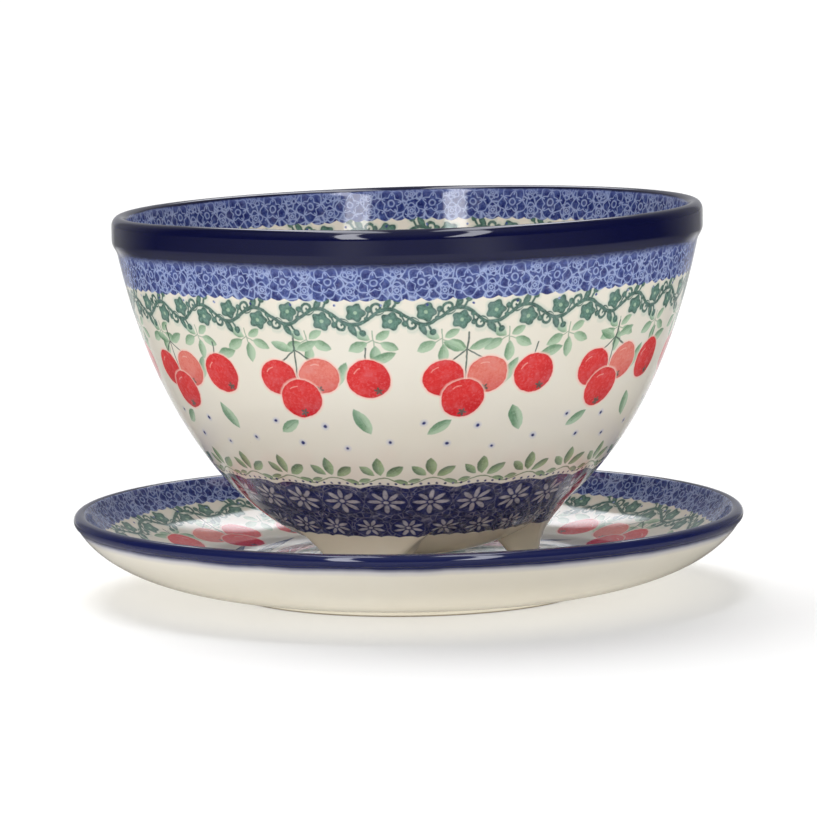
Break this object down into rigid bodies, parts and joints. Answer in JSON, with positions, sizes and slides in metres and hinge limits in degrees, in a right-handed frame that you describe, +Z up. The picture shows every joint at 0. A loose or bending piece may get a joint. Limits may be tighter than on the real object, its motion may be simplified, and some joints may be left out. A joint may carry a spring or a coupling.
{
  "type": "berry bowl",
  "caption": "Deep round footed bowl with drain holes in its floor and a banded rim, standing in the well of a matching saucer.",
  "frame": {"origin": "centre of the underside of the saucer's foot ring, on the axis of the bowl and saucer, at the floor", "axes": "+Z up along the common axis, -Y towards the front seen in the picture, +X to the right of it"},
  "size_m": [0.2008, 0.2008, 0.1152],
  "materials": {
    "saucer_glaze": "clear gloss glaze over painted bands, cobalt blue lip, cream underside",
    "bowl_glaze": "clear gloss glaze over painted bands, dark cobalt rim band, cream lower body"
  },
  "bodies": {
    "saucer": {"saucer": "saucer_glaze"},
    "bowl": {"bowl": "bowl_glaze"}
  },
  "joints": [
    {"name": "bowl_lift", "type": "slide", "parent": "saucer", "child": "bowl", "axis": [0, 0, 1], "range_m": [0, 0.12]}
  ]
}
